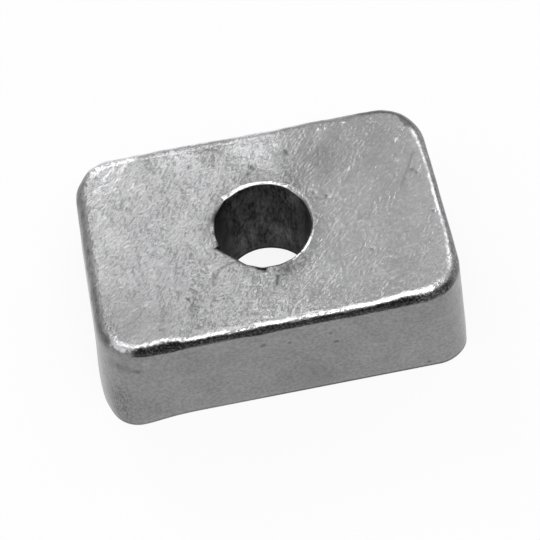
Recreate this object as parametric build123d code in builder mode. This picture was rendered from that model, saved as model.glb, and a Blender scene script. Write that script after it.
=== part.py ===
from build123d import *

import os
from math import radians, tan

# A small sacrificial anode: one block of zinc, cast in a single piece and held
# by one bolt through its middle. Lengths are in millimetres, angles in degrees.
#
# The origin is the middle of the flat seating face. +X runs along the block,
# +Z points from the seating face to the narrower outer face.

# Driving dimensions

block_length = 35.0         # seating face, along X
block_width = 23.0          # seating face, along Y
block_height = 12.0         # seating face to outer face
wall_draft = 5.0            # lean of the four walls, so that the casting leaves its mould
seat_corner_radius = 3.3    # upright corners, where they meet the seating face
outer_corner_radius = 4.1   # the same corners at the outer face, a little rounder
outer_edge_round = 0.8      # rolled edge all round the outer face
bore_diameter = 9.0         # clearance hole for an M8 bolt
bore_lip_round = 0.25       # worn lip of the bore on the outer face

# Sizes that follow from them

wall_lean = block_height * tan(radians(wall_draft))
outer_length = block_length - 2 * wall_lean
outer_width = block_width - 2 * wall_lean

# Anode block: the walls are drawn straight from the seating outline up to the
# smaller outer outline, whose corners have a radius of their own. The outer
# edge is then rolled over, and the bore goes square through both faces.

with BuildPart() as anode_block:
    with BuildSketch(Plane.XY):
        RectangleRounded(block_length, block_width, seat_corner_radius)
    with BuildSketch(Plane.XY.offset(block_height)):
        RectangleRounded(outer_length, outer_width, outer_corner_radius)
    loft(ruled=True)
    fillet(faces().sort_by(Axis.Z)[-1].edges(), radius=outer_edge_round)

    Hole(radius=bore_diameter / 2)
    fillet(faces().sort_by(Axis.Z)[-1].inner_wires().edges(), radius=bore_lip_round)

anode_block.part.label = "anode_block"

os.makedirs("parts", exist_ok=True)
export_step(anode_block.part, "parts/anode_block.step")
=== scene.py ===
from math import atan2, cos, exp, pi, radians, sin, tan

import bmesh
import bpy
from mathutils import Matrix, Vector, noise


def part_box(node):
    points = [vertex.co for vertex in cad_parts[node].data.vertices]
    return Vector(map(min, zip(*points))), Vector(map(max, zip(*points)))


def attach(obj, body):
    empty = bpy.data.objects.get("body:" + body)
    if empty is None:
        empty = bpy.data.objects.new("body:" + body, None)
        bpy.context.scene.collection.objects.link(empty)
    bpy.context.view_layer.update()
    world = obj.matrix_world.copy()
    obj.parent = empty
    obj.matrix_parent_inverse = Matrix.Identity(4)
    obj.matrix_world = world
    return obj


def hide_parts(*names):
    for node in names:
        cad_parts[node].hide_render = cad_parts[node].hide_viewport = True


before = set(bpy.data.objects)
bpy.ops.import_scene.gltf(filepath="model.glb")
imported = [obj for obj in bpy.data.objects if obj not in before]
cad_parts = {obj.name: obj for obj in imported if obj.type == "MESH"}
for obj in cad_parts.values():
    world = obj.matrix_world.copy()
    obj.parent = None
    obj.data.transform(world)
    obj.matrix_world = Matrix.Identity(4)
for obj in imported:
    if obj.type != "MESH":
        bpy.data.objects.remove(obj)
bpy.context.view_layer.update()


# Anode block. One casting in zinc, poured round a core pin in a steel mould: the walls are smooth
# where the mould held them, the outer face is dull and mottled, and its edge is where the metal
# shrank from the mould's corner and rolled itself over, not quite evenly.

mm = 0.001
box_low, box_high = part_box("anode_block")
half_length = box_high[0]
half_width = box_high[1]
height = box_high[2]
wall_draft = radians(5)
seat_corner = 3.3 * mm
outer_corner = 4.1 * mm
edge_roll = 0.8 * mm
seat_edge = 0.06 * mm
bore_radius = 4.5 * mm

# Where the foot of the wall stands out of true, in millimetres: x, y, how far out and the reach.
foot_swells = [(-14.3, -11.5, 0.32, 2.6), (-17.5, -5.4, 0.13, 2.5), (-17.3, -9.4, -0.19, 1.4),
               (17.45, -8.6, -0.11, 0.8), (16.9, -10.1, 0.08, 1.2)]

corner_steps = 34
long_side_steps = 176
short_side_steps = 102


def outline_stations():
    """Each point of the outline: its share of the way to the corner centres, and its facing angle."""
    corners = [(1, 1), (-1, 1), (-1, -1), (1, -1)]
    stations = []
    for turn, (across, along) in enumerate(corners):
        next_across, next_along = corners[(turn + 1) % 4]
        for step in range(corner_steps):
            stations.append((across, along, radians(90) * (turn + step / corner_steps)))
        side_steps = long_side_steps if next_along == along else short_side_steps
        for step in range(side_steps):
            done = step / side_steps
            stations.append((across + (next_across - across) * done,
                             along + (next_along - along) * done,
                             radians(90) * (turn + 1)))
    return stations


def swell(distance, reach):
    """1 in the middle, falling smoothly away about reach from it."""
    return exp(-(distance / reach) ** 2)


def on_outline(station, z, inset=0.0):
    """The leaning wall's outline at height z, moved in by inset."""
    across, along, facing = station
    corner = seat_corner + (outer_corner - seat_corner) * z / height
    lean = z * tan(wall_draft)
    x = across * (half_length - lean - corner) + (corner - inset) * cos(facing)
    y = along * (half_width - lean - corner) + (corner - inset) * sin(facing)
    point = Vector((x, y, z))
    outward = Vector((cos(facing), sin(facing), 0))
    for x, y, growth, reach in foot_swells:
        away = (point - Vector((x, y, 0)) * mm).length
        point += outward * growth * mm * swell(away, reach * mm)
    return point


def uneven(point, size, depth):
    """Smooth unevenness, about size across and up to depth deep."""
    return depth * noise.noise(point / size)


def ease(value, start, end):
    """0 before start, 1 after end and smooth between them."""
    share = min(max((value - start) / (end - start), 0.0), 1.0)
    return share * share * (3 - 2 * share)


end_reach = 2.5 * mm


def roll_radius(station):
    """The rolled edge's radius: it wanders, and widens at both ends and along part of each side."""
    point = on_outline(station, height)
    wander = uneven(point, 3.3 * mm, 0.14 * mm) + uneven(point, 0.9 * mm, 0.08 * mm)
    wander *= 1 - 0.6 * ease(abs(point.x), 14.5 * mm, 15.5 * mm)
    left_spread = 0.65 + 0.27 * ease(point.y, 3 * mm, 6.5 * mm)
    left_spread += 0.15 * ease(point.y, -4.5 * mm, -6.5 * mm)
    left_spread *= mm * swell(point.x + half_length, end_reach)
    right_spread = 0.18 + 0.34 * ease(abs(point.y), 4 * mm, 7 * mm)
    right_spread *= mm * swell(point.x - half_length, end_reach)
    back_spread = (0.22 + 0.08 * ease(point.x, 4 * mm, 0 * mm)) * mm * ease(point.y, 8 * mm, 10 * mm)
    front = ease(point.y, -8 * mm, -10 * mm)
    front_spread = 0.26 * mm * front * ease(point.x, -8.6 * mm, -10 * mm)
    front_spread += 0.42 * mm * front * ease(point.x, 7.5 * mm, 12 * mm)
    return edge_roll + wander + max(left_spread, right_spread, back_spread, front_spread)


def roll_point(station, turn):
    """The rolled edge: turn is 0 at the outer face and 1 at the wall."""
    radius = roll_radius(station)
    angle = turn * (pi / 2 - wall_draft)
    drop = radius * (1 - cos(angle))
    inset = radius / cos(wall_draft) - (radius - drop) * tan(wall_draft) - radius * sin(angle)
    return on_outline(station, height - drop, inset)


def wall_point(station, down):
    """The wall: down is 0 under the rolled edge and 1 above the seating edge."""
    top = height - roll_radius(station) * (1 - sin(wall_draft))
    return on_outline(station, top + (seat_edge - top) * down)


def seat_edge_point(station, turn):
    angle = turn * pi / 2
    return on_outline(station, seat_edge * (1 - sin(angle)), seat_edge * (1 - cos(angle)))


# The bore's rim. Its lip is worn wide in four places, a thin burr stands in round all but its left
# side, a little flash adds to it on the near side, and one nick leaves a short straight edge.

lip_width = 0.32 * mm
lip_drop = 0.20 * mm
lip_wear = 0.18 * mm
worn_angles = [radians(48), radians(133), radians(165), radians(190)]
worn_reach = radians(14)
rim_burr = 0.14 * mm
rim_depth_power = 10
flash_depth = 0.02 * mm
flash_angle = radians(-95)
flash_reach = radians(30)
nick_facing = radians(-133.8)
nick_distance = 4.25 * mm
nick_angles = (radians(-163), radians(-121))


def bore_direction(station):
    spoke = on_outline(station, 0.0)
    return Vector((spoke.x, spoke.y, 0.0)).normalized()


def rim_wander(direction):
    """How far the bore's rim stands off its true circle."""
    angle = atan2(direction.y, direction.x)
    if nick_angles[0] < angle < nick_angles[1]:
        return nick_distance / cos(angle - nick_facing) - bore_radius
    wander = uneven(direction, 0.35, 0.05 * mm) + uneven(direction, 0.12, 0.03 * mm)
    wander -= rim_burr * ease(direction.x, -0.70, -0.52)
    return wander - flash_depth * swell(angle - flash_angle, flash_reach)


def bore_point(station, up):
    """The bore's wall: up is 0 at the seating face and 1 under the lip, and its rim alone wanders."""
    direction = bore_direction(station)
    radius = bore_radius + rim_wander(direction) * up ** rim_depth_power
    return direction * radius + Vector((0, 0, up * (height - lip_drop)))


def lip_point(station, turn):
    direction = bore_direction(station)
    bearing = atan2(direction.y, direction.x) % (2 * pi)
    wear = sum(lip_wear * swell(bearing - worn, worn_reach) for worn in worn_angles)
    width = lip_width + wear + uneven(direction, 0.15, 0.08 * mm)
    angle = turn * pi / 2
    radius = bore_radius + rim_wander(direction) + width * (1 - cos(angle))
    return direction * radius + Vector((0, 0, height - lip_drop * (1 - sin(angle))))


slope_width = 1.0 * mm
slope_drop = 0.06 * mm


def face_point(station, share):
    """The outer face, which slopes off a little towards the back left edge."""
    rim = roll_point(station, 0)
    point = lip_point(station, 1).lerp(rim, share)
    sloping = ease(rim.y, 7.5 * mm, 9 * mm) * ease(rim.x, 4 * mm, -3 * mm)
    point.z -= sloping * slope_drop * max(0.0, 1 - (rim - point).length / slope_width) ** 2
    return point


def seat_point(station, share):
    return seat_edge_point(station, 1).lerp(bore_point(station, 0), share)


# The section runs up the bore, out over the face, over the rolled edge, down the wall and back
# under the seat. Each line gives its stretch, its rings and how rough the skin is there.

section = []
for stretch, rings, skin in [(bore_point, 12, 0.3), (lip_point, 6, 0.5), (face_point, 84, 1.0),
                             (roll_point, 12, 0.6), (wall_point, 12, 0.12),
                             (seat_edge_point, 3, 0.0), (seat_point, 4, 0.0)]:
    section += [(stretch, ring / rings, skin) for ring in range(rings)]


# The cast skin. The metal froze in lumps drawn out along the way it ran, coarser behind the bore
# and streaked in the back left corner, and gas left a few pits.

flow_angle = radians(40)
flow = Matrix.Rotation(-flow_angle, 3, "Z")
flow_stretch = Vector((0.5, 1.0, 1.0))
skin_lump = 2.4 * mm
skin_depth = 0.145 * mm
coarse_place = Vector((0.8, 7.8, 12.0)) * mm
coarse_reach = 2.6 * mm
coarse_depth = 0.055 * mm
streak_place = Vector((-13.0, 7.3, 12.0)) * mm
streak_reach = 2.6 * mm
streak_depth = 0.10 * mm
pits = [(14.52, 2.91, 0.24), (14.88, 2.49, 0.16), (15.36, -1.84, 0.22), (0.15, 6.30, 0.34),
        (-0.35, 5.75, 0.22), (3.55, 7.35, 0.30), (-0.76, -4.75, 0.20), (5.15, 2.35, 0.16),
        (6.25, 1.80, 0.22), (-5.60, 7.60, 0.22), (9.10, -4.60, 0.16), (-7.90, -6.10, 0.16)]
pit_depth = 0.07 * mm
nodules = [(5.10, 2.75, 0.14), (5.45, 2.50, 0.14), (7.07, 9.10, 0.20), (7.74, 9.02, 0.18),
           (9.51, 9.40, 0.20), (12.21, 9.23, 0.24), (13.97, 6.42, 0.22), (13.50, 4.20, 0.20),
           (-0.64, -5.05, 0.20), (10.60, -5.70, 0.18), (3.90, -6.80, 0.20), (8.87, 4.04, 0.14)]
nodule_rise = 0.035 * mm


def dimple(point, spots, depth):
    """The depth at a point of a few round dents, each given in millimetres: x, y and reach."""
    total = 0.0
    for x, y, reach in spots:
        offset = Vector((point.x - x * mm, point.y - y * mm))
        if offset.length < 3 * reach * mm:
            total += depth * swell(offset.length, reach * mm)
    return total


def skin_relief(point):
    """How far the skin stands out at a point."""
    run = flow @ point
    depth = skin_depth * (1 - 0.68 * ease(point.x, -4 * mm, 7 * mm))
    coarse = swell((point - coarse_place).length, coarse_reach)
    streaks = swell((point - streak_place).length, streak_reach)
    relief = uneven(point, 6.0 * mm, 0.050 * mm)
    relief += depth * noise.fractal(run * flow_stretch / skin_lump, 0.75, 2.0, 4)
    relief += coarse * coarse_depth * noise.fractal(run * flow_stretch / (1.2 * mm), 0.6, 2.0, 3)
    relief -= streaks * streak_depth * abs(noise.noise(run * Vector((0.2, 1.0, 1.0)) / (0.9 * mm)))
    return relief


# Cracks in the face, and raised ridges where the depth is negative: where each runs from and to, in
# millimetres, its depth and how dirty it is, or where negative how much lighter it is painted as a
# highlight. A lap curls round on the near side of the bore.

cracks = [((13.3, 1.6), (15.1, 4.7), 0.03, 0.25), ((4.6, 2.0), (7.0, 1.3), 0.02, 0.10),
          ((0.35, -5.5), (0.10, -6.25), 0.08, 0.50), ((-1.28, -4.36), (-0.68, -4.52), 0.15, 0.95),
          ((-14.7, 6.7), (-13.7, 7.4), -0.06, -0.60),
          ((-13.4, 7.3), (-12.2, 7.7), -0.04, -0.30), ((-13.6, 8.0), (-12.5, 9.1), -0.06, -0.65),
          ((-12.2, 8.4), (-11.2, 9.3), -0.06, -0.60), ((-15.2, 5.4), (-14.1, 6.1), -0.05, -0.35),
          ((-14.9, 8.3), (-14.2, 9.0), -0.05, -0.65), ((-14.8, 3.5), (-13.8, 4.0), -0.03, -0.20)]
crack_reach = 0.16 * mm
lap_centre = Vector((-3.3, -5.3)) * mm
lap_radius = 2.05 * mm
lap_depth = 0.05 * mm
lap_dirt = 0.3
pit_dirt = 0.5
# The nodules are painted lighter by this much, a painted highlight.
nodule_highlight = 0.3


def crack_closeness(point, start, end):
    """1 on a crack's line, falling to 0 beside it and past its ends."""
    start = Vector(start) * mm
    line = Vector(end) * mm - start
    along = min(max((point.xy - start).dot(line) / line.length_squared, 0.0), 1.0)
    return swell((point.xy - start - line * along).length, crack_reach)


def lap_closeness(point):
    spoke = point.xy - lap_centre
    turned = ease(atan2(spoke.y, spoke.x), radians(75), radians(95))
    return turned * swell(spoke.length - lap_radius, crack_reach)


def face_marks(point):
    """How far the marks stand out of the face, and their dirt, or their painted highlight where
    negative.
    """
    rise = dimple(point, nodules, nodule_rise) - dimple(point, pits, pit_depth)
    rise -= lap_depth * lap_closeness(point)
    dirt_and_glint = dimple(point, pits, pit_dirt) - dimple(point, nodules, nodule_highlight)
    dirt_and_glint += lap_dirt * lap_closeness(point)
    for start, end, depth, dirty in cracks:
        closeness = crack_closeness(point, start, end)
        rise -= depth * mm * closeness
        dirt_and_glint += dirty * closeness
    return rise, dirt_and_glint


# What the surface keeps for its material: how far round the rolled edge it is (0 where the edge
# leaves the face and less inside that, 1 at the top of the wall and more on down it), how far down
# the lip (1 in the bore), and where the two carry a painted highlight.

face_scale = -1.2 * mm
wall_scale = 9
no_roll = -1.0


def roll_share(stretch, share, station, point):
    if stretch is face_point:
        return (point - roll_point(station, 0)).length / face_scale
    return {roll_point: share, wall_point: 1 + wall_scale * share}.get(stretch, no_roll)


def lip_share(stretch, share):
    return {lip_point: 1 - share, bore_point: 1.0}.get(stretch, 0.0)


# Where the back edge carries a painted highlight, in millimetres: the middle of each patch along x,
# and its reach.

back_highlights = [(-12.0, 3.0), (-6.2, 1.7), (-3.7, 0.6), (-0.8, 0.6), (1.3, 1.6), (3.4, 0.8)]


def highlit(stretch, point):
    """1 where the rolled edge or the bore's lip carries a painted highlight, and 0 where it is left
    dull.
    """
    if stretch is roll_point or point.xy.length > 6.5 * mm:
        back = ease(point.y, 8.5 * mm, 9.2 * mm)
        patches = sum(swell(point.x - middle * mm, reach * mm) for middle, reach in back_highlights)
        patches = ease(patches + noise.noise(point / (0.8 * mm)) * 0.4, 0.3, 0.7)
        back *= 1 - ease(point.x, 13 * mm, 14 * mm)
        right = 1 - ease(point.y, 6.8 * mm, 7.8 * mm) * ease(point.x, 13 * mm, 14 * mm)
        left = max(ease(point.x, -15.2 * mm, -14.0 * mm), ease(point.y, -7.0 * mm, -8.5 * mm))
        return left * right * (1 - back * (1 - patches))
    bearing = atan2(point.y, point.x)
    back = ease(bearing, radians(20), radians(50)) * ease(bearing, radians(155), radians(140))
    right = ease(bearing, radians(-80), radians(-62)) * ease(bearing, radians(-15), radians(-35))
    nick = swell(abs(bearing) - radians(173), radians(7))
    return max(back, right, nick)


# The mesh itself: a sheet wrapped round the section and round the outline, closed on itself both
# ways, marked for its material and then moved out or in by the marks and the cast skin.

stations = outline_stations()
casting = bmesh.new()
skin_layer = casting.verts.layers.float.new("skin")
turn_layer = casting.verts.layers.float.new("roll_turn")
lip_layer = casting.verts.layers.float.new("lip_turn")
# This layer marks where a painted highlight goes.
highlit_layer = casting.verts.layers.float.new("highlit")
# This layer holds dirt, and painted glints where it is negative.
dirt_and_glint_layer = casting.verts.layers.float.new("dirt_and_glint")
bmesh.ops.create_grid(casting, x_segments=len(stations), y_segments=len(section), size=0.5)
for vert in casting.verts:
    station = stations[round((vert.co.x + 0.5) * len(stations)) % len(stations)]
    stretch, share, skin = section[round((vert.co.y + 0.5) * len(section)) % len(section)]
    vert.co = stretch(station, share)
    vert[skin_layer] = skin
    vert[turn_layer] = roll_share(stretch, share, station, vert.co)
    vert[lip_layer] = lip_share(stretch, share)
    vert[highlit_layer] = highlit(stretch, vert.co)
    if stretch in (face_point, lip_point):
        rise, vert[dirt_and_glint_layer] = face_marks(vert.co)
        vert.co.z += rise
bmesh.ops.remove_doubles(casting, verts=casting.verts, dist=0.001 * mm)
bmesh.ops.recalc_face_normals(casting, faces=casting.faces)
casting.normal_update()
for vert in casting.verts:
    vert.co += vert.normal * skin_relief(vert.co) * vert[skin_layer]

casting_mesh = bpy.data.meshes.new("anode_casting")
casting.to_mesh(casting_mesh)
casting.free()
casting_mesh.shade_smooth()
anode_casting = bpy.data.objects.new("anode_casting", casting_mesh)
bpy.context.scene.collection.objects.link(anode_casting)
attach(anode_casting, "root")
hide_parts("anode_block")


# Cast zinc, the block's one material: grey metal with a dull, finely mottled outer face, a painted dark
# reflection and a painted highlight on the rolled edge, smooth walls, and a bore painted dark as shade.

class Shade:
    """One value of a material. Arithmetic on it adds the Math nodes that work it out."""

    def __init__(self, tree, socket=None):
        self.tree = tree
        self.socket = socket

    def node(self, kind, settings, sockets, output=0):
        """Adds a node of any kind: its settings first, then a value or a link for each socket."""
        node = self.tree.nodes.new(kind)
        for name, value in settings.items():
            setattr(node, name, value)
        for name, value in sockets.items():
            if isinstance(value, Shade):
                self.tree.links.new(value.socket, node.inputs[name])
            else:
                node.inputs[name].default_value = value
        return Shade(self.tree, node.outputs[output])

    def maths(self, operation, first, second):
        return self.node("ShaderNodeMath", {"operation": operation}, {0: first, 1: second})

    def __add__(self, other):
        return self.maths("ADD", self, other)

    def __radd__(self, other):
        return self.maths("ADD", other, self)

    def __sub__(self, other):
        return self.maths("SUBTRACT", self, other)

    def __rsub__(self, other):
        return self.maths("SUBTRACT", other, self)

    def __mul__(self, other):
        return self.maths("MULTIPLY", self, other)

    def __rmul__(self, other):
        return self.maths("MULTIPLY", other, self)

    def rise(self, start, end):
        """0 at start, smoothly up to 1 at end; start may be the larger."""
        return self.node("ShaderNodeMapRange", {"interpolation_type": "SMOOTHSTEP"},
                         {"Value": self, "From Min": start, "From Max": end})

    def noise(self, size, detail=2.0):
        """Cloudy noise in lumps about size millimetres across, from 0 to 1, on this position."""
        return self.node("ShaderNodeTexNoise", {},
                         {"Vector": self, "Scale": 1 / size, "Detail": detail})

    def stretched(self, factors):
        """This position with each of its axes multiplied by its factor."""
        return self.node("ShaderNodeVectorMath", {"operation": "MULTIPLY"}, {0: self, 1: factors})

    def away_from(self, spot):
        """How far this position is from a spot."""
        return self.node("ShaderNodeVectorMath", {"operation": "DISTANCE"},
                         {0: self, 1: spot}, "Value")


blue_cast = 1.01


def grey(level):
    return (level, level, level * blue_cast, 1.0)


cast_zinc = bpy.data.materials.new("cast_zinc")
cast_zinc.use_nodes = True
zinc_tree = cast_zinc.node_tree
zinc_shader = zinc_tree.nodes["Principled BSDF"]
zinc = Shade(zinc_tree)

face_grey = 0.42
wall_grey = 0.232
# The grey of the painted highlight.
highlight_grey = 0.64
# The grey of the painted dark reflection on the rolled edge.
dark_reflection_grey = 0.023
# The grey of the bore's painted shade.
bore_shade_grey = 0.073

# Where a point is, in millimetres: plainly, along the way the metal ran, and drawn out upright.
place = zinc.node("ShaderNodeTexCoord", {}, {}, "Object")
place_mm = zinc.node("ShaderNodeVectorMath", {"operation": "SCALE"}, {0: place, "Scale": 1 / mm})
axes = zinc.node("ShaderNodeSeparateXYZ", {}, {"Vector": place_mm}).socket.node.outputs
across_mm, along_mm, height_mm = [Shade(zinc_tree, axes[axis]) for axis in "XYZ"]
outer_height = height / mm
front_foot = -half_width / mm
axis_distance = zinc.node("ShaderNodeVectorMath", {"operation": "LENGTH"},
                          {0: place_mm.stretched((1, 1, 0))}, "Value")
run_mm = zinc.node("ShaderNodeMapping", {"vector_type": "TEXTURE"},
                   {"Vector": place_mm, "Rotation": (0.0, 0.0, flow_angle), "Scale": (2.0, 1.0, 1.0)})
upright_stretch = Vector((1, 1, 0.3))
upright_mm = place_mm.stretched(upright_stretch)
# Of these attributes the third marks where a painted highlight goes, and the fourth holds dirt, with
# painted glints where it is negative.
roll_turn, lip_turn, highlit_share, dirt_and_glint = [
    zinc.node("ShaderNodeAttribute", {"attribute_name": name}, {}, "Fac")
    for name in ("roll_turn", "lip_turn", "highlit", "dirt_and_glint")]

# Parts of the block: its bore, its outer face, its ends, its sides and two of its corners.
near_axis = axis_distance.rise(5.3, 5.1)
in_bore = lip_turn.rise(0.55, 0.95) * near_axis
on_top = height_mm.rise(outer_height - 1.8, outer_height - 1.2)
face_mask = roll_turn.rise(0.7, 0.3) * on_top
coarse = place_mm.away_from(coarse_place / mm).rise(4.2, 1.5)
left_end = across_mm.rise(-14.3, -15.2)
right_end = across_mm.rise(14.0, 15.0)
front_side = along_mm.rise(-8.5, -10.0)
front_left = front_side * across_mm.rise(-8.6, -10.0)
front_right = front_side * across_mm.rise(7.5, 12.0)
back_side = along_mm.rise(8.0, 9.0)
back_right = back_side * across_mm.rise(4.0, 7.0)
back_corner = along_mm.rise(6.8, 8.0) * across_mm.rise(9.0, 12.0)
front_corner_away = place_mm.away_from((-14.7, -9.75, outer_height))

# Noises that break up the edges of what follows.
ragged = place_mm.noise(0.5, 3.0) - 0.5
drift = place_mm.noise(3.0) - 0.5
flecks = place_mm.noise(0.2, 3.0).rise(0.45, 0.65)
clouds = place_mm.noise(2.5, 3.0).rise(0.3, 0.7)
wall_specks = place_mm.noise(0.3, 3.0).rise(0.3, 0.7)
specks = run_mm.noise(0.24, 3.0).rise(0.3, 0.7)
lumps = run_mm.noise(0.65, 3.0).rise(0.3, 0.7)
streaks = run_mm.stretched((0.45, 1, 1)).noise(0.32, 2.0).rise(0.5, 0.72)
streaks = streaks * place_mm.away_from(streak_place / mm).rise(4.2, 1.8) * face_mask

# A painted dark reflection on the rolled edge: where round the roll it starts and stops, and how dark
# it is.
worn = roll_turn + ragged * 0.35 + drift * 0.3
worn = worn + right_end * 0.10 + front_left * 0.10 + front_right * 0.12
# A painted highlight at the front left corner.
corner_highlight = (front_corner_away + ragged * 1.8).rise(1.6, 0.6)
dark_reflection_stop = roll_turn + ragged * 0.15 + front_left * 0.14 + front_right * 0.30
dark_reflection = (worn + back_corner * 0.42 - back_side * 0.15).rise(0.35, 0.57)
dark_reflection = dark_reflection * dark_reflection_stop.rise(1.22, 1.06) * (1 - 0.75 * left_end * roll_turn.rise(0.3, 0.85))
dark_reflection = dark_reflection * (1 - corner_highlight)
dark_reflection_strength = 0.95 * front_side * across_mm.rise(-14.3, -13.2) * across_mm.rise(16.0, 14.4)
dark_reflection_strength = dark_reflection_strength * (1 - 0.25 * across_mm.rise(11.5, 13.5))
dark_reflection_strength = dark_reflection_strength + 0.05 + 0.55 * left_end + 0.50 * back_corner
dark_reflection_strength = dark_reflection_strength + (0.42 * right_end + 0.40 * back_right) * (1 - back_corner)
fleck_share = 0.3 + 0.6 * across_mm.rise(10.5, 12.5) * roll_turn.rise(0.85, 0.7)
dark_reflection_strength = dark_reflection_strength * (1 - fleck_share * (1 - back_corner) * flecks)

# A painted highlight: just inside the painted dark band, at the front left corner and on the bore's
# lip.
far_left = across_mm.rise(-9.5, -11.0)
back_highlight = back_side * (1 - back_right) * (across_mm + ragged * 1.6).rise(-15.6, -14.3)
highlight_start = worn + back_highlight * (far_left * 0.4 - 0.12) - front_left * 0.06
highlight_stop = worn - back_highlight * (0.5 - 0.2 * far_left) - right_end * 0.06 - corner_highlight * 0.3
painted_highlight = highlight_start.rise(0.12, 0.30) * highlight_stop.rise(0.56, 0.30)
painted_highlight = painted_highlight + 0.9 * lip_turn.rise(0.02, 0.2) * lip_turn.rise(0.98, 0.8) * near_axis
painted_highlight = painted_highlight * (highlit_share + (1 - highlit_share) * back_highlight * roll_turn.rise(0.2, 0.45))
painted_highlight = painted_highlight * (1 - 0.4 * flecks * back_highlight)
bright = highlight_grey + 0.2 * right_end + 0.34 * corner_highlight
bright = bright + 0.3 * back_highlight * (1 - 0.6 * across_mm.rise(-12.0, -13.5))
bright = bright - 0.08 * front_side * across_mm.rise(4.0, 7.0)

# The tone of the face and the walls. Each soft patch of the face has its x, y and reach in
# millimetres, and how much lighter or darker the metal is in its middle.
face_patches = [(6.5, 6.5, 4.0, -0.12), (3.2, 5.2, 1.6, -0.12), (-3.6, 8.2, 1.4, -0.14),
                (-13.0, 8.3, 3.2, 0.12), (0.4, 8.6, 3.8, 0.55), (0.2, -6.5, 1.6, -0.06),
                (1.0, -4.9, 1.6, -0.42), (-8.0, -9.0, 10.0, -0.22), (9.0, -2.0, 9.0, 0.07),
                (1.5, -8.0, 3.0, -0.14), (-14.0, -6.0, 5.0, -0.18), (5.5, 5.5, 3.5, -0.15),
                (4.8, -2.8, 3.2, -0.08), (3.3, 4.0, 1.7, -0.25), (2.6, -4.5, 1.5, -0.30),
                (-14.8, 2.5, 5.0, 0.05), (-10.0, 2.0, 8.0, -0.10), (-7.0, 9.5, 3.5, 0.25)]
face_change = (specks - 0.5) * 0.15 + (clouds - 0.5) * 0.06 + (lumps - 0.5) * 0.10
face_change = face_change + across_mm.rise(1.0, 7.0) * 0.08
face_change = face_change + across_mm.rise(12.0, 15.0) * 0.12 + across_mm.rise(14.7, 15.6) * 0.10
for x, y, reach, change in face_patches:
    face_change = face_change + change * place_mm.away_from((x, y, outer_height)).rise(reach, 0.0)
wall_change = (wall_specks - 0.5) * 0.32 + (clouds - 0.5) * 0.12
round_bore = axis_distance.rise(6.2, 5.1) * face_mask
lip_shade = lip_turn.rise(0.1, 0.5) * near_axis * (0.35 + 0.35 * across_mm.rise(-1.0, -3.0))
tone = wall_grey + face_mask * (face_grey - wall_grey)
tone = tone * (1 + wall_change + face_mask * (face_change - wall_change))
tone = tone * (1 - dirt_and_glint) * (1 + 0.32 * streaks) * (1 - 0.14 * round_bore) * (1 - lip_shade)
tone = tone + painted_highlight * (bright - tone)
tone = tone + dark_reflection * dark_reflection_strength * (dark_reflection_grey - tone)

# The bore, painted dark as shade: darkest at both sides and towards the bottom, and lighter in one
# place near the top at the back.
bore_lighter_spot = (2.7, 3.2, 10.8)
bore_shade_pattern = 0.1 + 1.5 * upright_mm.noise(1.1, 3.0).rise(0.35, 0.65)
bore_shade_pattern = bore_shade_pattern + 1.3 * upright_mm.noise(0.22, 3.0).rise(0.3, 0.7)
bore_shade_pattern = bore_shade_pattern * (1 - 0.85 * across_mm.rise(-1.8, -4.0))
bore_shade_pattern = bore_shade_pattern * (1 - 0.55 * across_mm.rise(2.8, 4.2))
bore_shade_pattern = bore_shade_pattern * (1 + 0.9 * place_mm.away_from(bore_lighter_spot).rise(2.4, 0.6))
bore_shade_pattern = bore_shade_pattern * height_mm.rise(-2.0, 4.0)
tone = tone * (1 - in_bore) + in_bore * bore_shade_grey * bore_shade_pattern

# Marks on the walls: short dashes where the metal lapped, small blow holes and a smear. Each has
# its x, how far in from the foot of the front wall, z and reach in millimetres, and its change.
wall_marks = [(-2.25, 0.81, 9.25, 0.36, -0.45), (0.27, 0.77, 8.85, 0.30, -0.42),
              (3.92, 0.79, 9.07, 0.28, -0.42), (4.33, 0.66, 7.56, 0.36, -0.45),
              (13.1, 0.07, 0.80, 0.30, -0.45), (-13.6, 0.80, 8.75, 0.42, -0.42),
              (-14.8, 1.27, 9.00, 1.10, -0.20), (-15.7, 1.87, 9.25, 1.00, -0.20),
              (-12.74, 0.86, 9.84, 0.30, 0.20), (1.8, 0.2, 2.2, 4.5, -0.14)]
for x, inward, z, reach, change in wall_marks:
    away = place_mm.away_from((x, front_foot + inward, z)) + ragged * reach * 1.5
    tone = tone * (1 + change * away.rise(reach, reach * 0.3))

# Fine upright crazing at the foot of the front left corner, and painted shade along the foot of the
# walls.
craze_place = Vector((-15.7, -10.3, 2.6)) * upright_stretch
craze = upright_mm.away_from(craze_place).rise(1.9, 0.5)
craze = craze * upright_mm.noise(0.14, 2.0).rise(0.4, 0.65)
foot_shade = 0.35 + 0.35 * across_mm.rise(-8.0, 2.0)
foot_shade = foot_shade * (height_mm + ragged * 0.1).rise(0.42, 0.22)
tone = tone * (1 - 0.50 * craze) * (1 - foot_shade)

colour = zinc.node("ShaderNodeCombineColor", {},
                   {"Red": tone, "Green": tone, "Blue": tone * blue_cast})
zinc_tree.links.new(colour.socket, zinc_shader.inputs["Base Color"])
zinc_shader.inputs["Metallic"].default_value = 1.0

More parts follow.
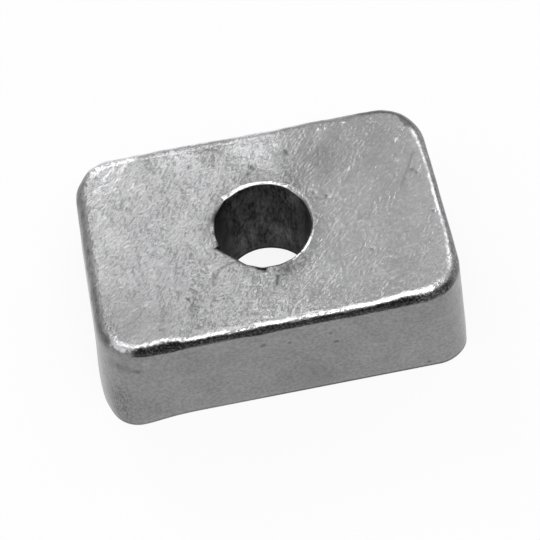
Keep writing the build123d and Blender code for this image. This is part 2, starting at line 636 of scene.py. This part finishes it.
# How rough and how grainy the metal is: dull on the face, less so under the painted highlight, matt in
# the bore.
roughness = 0.24 + face_mask * (1 - painted_highlight) * 0.08 + place_mm.noise(1.4) * 0.08
roughness = roughness + in_bore * 0.45 - painted_highlight * 0.06 + corner_highlight * 0.13
roughness = roughness + (coarse + front_corner_away.rise(6.0, 2.5)) * face_mask * 0.10
zinc_tree.links.new(roughness.socket, zinc_shader.inputs["Roughness"])
grain_depth = (0.48 + 0.67 * across_mm.rise(8, -6) + 0.5 * coarse) * (1 - 0.45 * painted_highlight)
face_grain = run_mm.noise(0.23, 3.0) * grain_depth + streaks * 0.5
wall_grain = wall_specks * 0.07
grain = wall_grain + face_mask * (face_grain - wall_grain) + in_bore * bore_shade_pattern * 0.5
grain_bump = zinc.node("ShaderNodeBump", {},
                       {"Height": grain, "Strength": 1.0, "Distance": 0.12 * mm})
zinc_tree.links.new(grain_bump.socket, zinc_shader.inputs["Normal"])
casting_mesh.materials.append(cast_zinc)


# Studio: a plain pale floor, four soft lamps and the camera. The floor looks white by its own colour,
# to the camera and in the metal, and still takes the block's shadow and lights it as matt paper.

floor_size = 1.5
floor_gap = 0.02 * mm
floor_glow = 0.88
floor_sheet = bmesh.new()
bmesh.ops.create_grid(floor_sheet, x_segments=1, y_segments=1, size=floor_size)
floor_mesh = bpy.data.meshes.new("studio_floor")
floor_sheet.to_mesh(floor_mesh)
floor_sheet.free()
studio_floor = bpy.data.objects.new("studio_floor", floor_mesh)
studio_floor.location.z = -floor_gap
bpy.context.scene.collection.objects.link(studio_floor)

floor_paper = bpy.data.materials.new("floor_paper")
floor_paper.use_nodes = True
floor_tree = floor_paper.node_tree
floor_tree.nodes.remove(floor_tree.nodes["Principled BSDF"])
paper = Shade(floor_tree)
rays = floor_tree.nodes.new("ShaderNodeLightPath").outputs
seen = (Shade(floor_tree, rays["Is Camera Ray"]) + Shade(floor_tree, rays["Is Glossy Ray"])
        + Shade(floor_tree, rays["Is Transmission Ray"]))
matt = paper.node("ShaderNodeBsdfDiffuse", {}, {"Color": grey(0.9)})
glow = paper.node("ShaderNodeEmission", {}, {"Color": grey(1.0), "Strength": 1.0})
blend = paper.node("ShaderNodeMixShader", {}, {0: seen * floor_glow, 1: matt, 2: glow})
floor_tree.links.new(blend.socket, floor_tree.nodes["Material Output"].inputs["Surface"])
floor_mesh.materials.append(floor_paper)

studio_air = bpy.data.worlds.new("studio_air")
studio_air.use_nodes = True
studio_air.node_tree.nodes["Background"].inputs["Color"].default_value = grey(1.0)
studio_air.node_tree.nodes["Background"].inputs["Strength"].default_value = 0.35
bpy.context.scene.world = studio_air


def soft_lamp(name, place, size_x, size_y, watts):
    """A rectangular lamp that points at the block."""
    light = bpy.data.lights.new(name, "AREA")
    light.shape = "RECTANGLE"
    light.size = size_x
    light.size_y = size_y
    light.energy = watts
    lamp = bpy.data.objects.new(name, light)
    lamp.location = place
    lamp.rotation_euler = Vector(place).to_track_quat("Z", "Y").to_euler()
    bpy.context.scene.collection.objects.link(lamp)


soft_lamp("overhead_lamp", (0.03, -0.11, 0.40), 0.30, 0.30, 0.9)
soft_lamp("back_lamp", (-0.108, 0.296, 0.246), 0.13, 0.24, 0.36)
soft_lamp("left_lamp", (-0.244, -0.044, 0.312), 0.10, 0.24, 0.14)
soft_lamp("right_lamp", (0.214, 0.206, 0.268), 0.20, 0.14, 0.10)

view_target = Vector((0.03, -1.42, 5.97)) * mm
view_distance = 144.75 * mm
view_elevation = radians(60.53)
view_heading = radians(-5.87)
view_roll = radians(-5.68)
lens_data = bpy.data.cameras.new("photo_camera")
lens_data.lens = 102.88
lens_data.sensor_width = 36
lens_data.clip_start = 0.01
photo_camera = bpy.data.objects.new("photo_camera", lens_data)
photo_camera.matrix_world = (Matrix.Translation(view_target)
                             @ Matrix.Rotation(view_heading, 4, "Z")
                             @ Matrix.Rotation(pi / 2 - view_elevation, 4, "X")
                             @ Matrix.Rotation(view_roll, 4, "Z")
                             @ Matrix.Translation((0, 0, view_distance)))
bpy.context.scene.collection.objects.link(photo_camera)
bpy.context.scene.camera = photo_camera
bpy.context.scene.view_settings.view_transform = "Standard"
